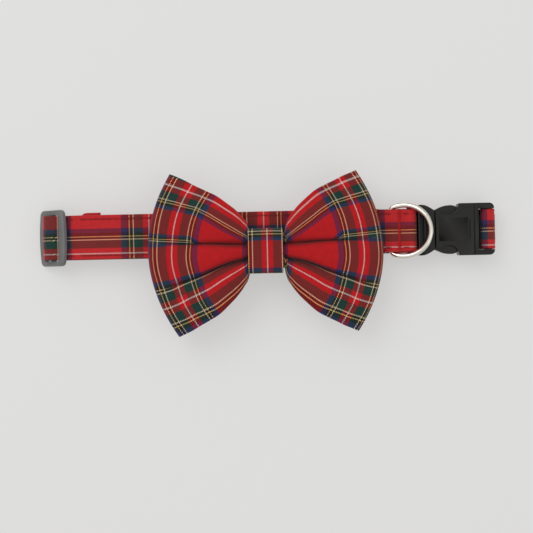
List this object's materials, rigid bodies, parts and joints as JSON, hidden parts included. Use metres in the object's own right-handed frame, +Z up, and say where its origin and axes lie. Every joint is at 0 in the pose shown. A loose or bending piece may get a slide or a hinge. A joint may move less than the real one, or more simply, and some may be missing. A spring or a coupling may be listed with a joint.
{
  "type": "pet bow tie collar",
  "caption": "Tartan pet collar lying buckled and flattened, with a slider, side-release buckle, D-ring and a pleated hollow bow tie on its front.",
  "frame": {"origin": "centre of the part's box, on the surface that the collar lies on", "axes": "+X along the strap towards the buckle, +Y towards the collar's upper edge, +Z up out of the bow's front"},
  "size_m": [0.205, 0.072, 0.0219],
  "materials": {
    "strap": "woven tartan webbing, matt",
    "bow": "woven tartan cotton twill, matt",
    "slider": "grey, glossy",
    "buckle": "black, fine moulded texture",
    "ring": "bright nickel plate",
    "elastic": "black knitted elastic"
  },
  "bodies": {
    "collar": {"strap_front": "strap", "strap_back": "strap", "slider": "slider", "buckle_male": "buckle", "buckle_female": "buckle", "bow": "bow", "bow_knot": "bow", "elastic_loop_left": "elastic", "elastic_loop_right": "elastic"},
    "ring": {"d_ring": "ring"}
  },
  "joints": [
    {"name": "ring_swing", "type": "hinge", "parent": "collar", "child": "ring", "pos_m": [0.0559, 0.0091, 0.0079], "axis": [0, -1, 0], "range_deg": [0, 80]}
  ]
}
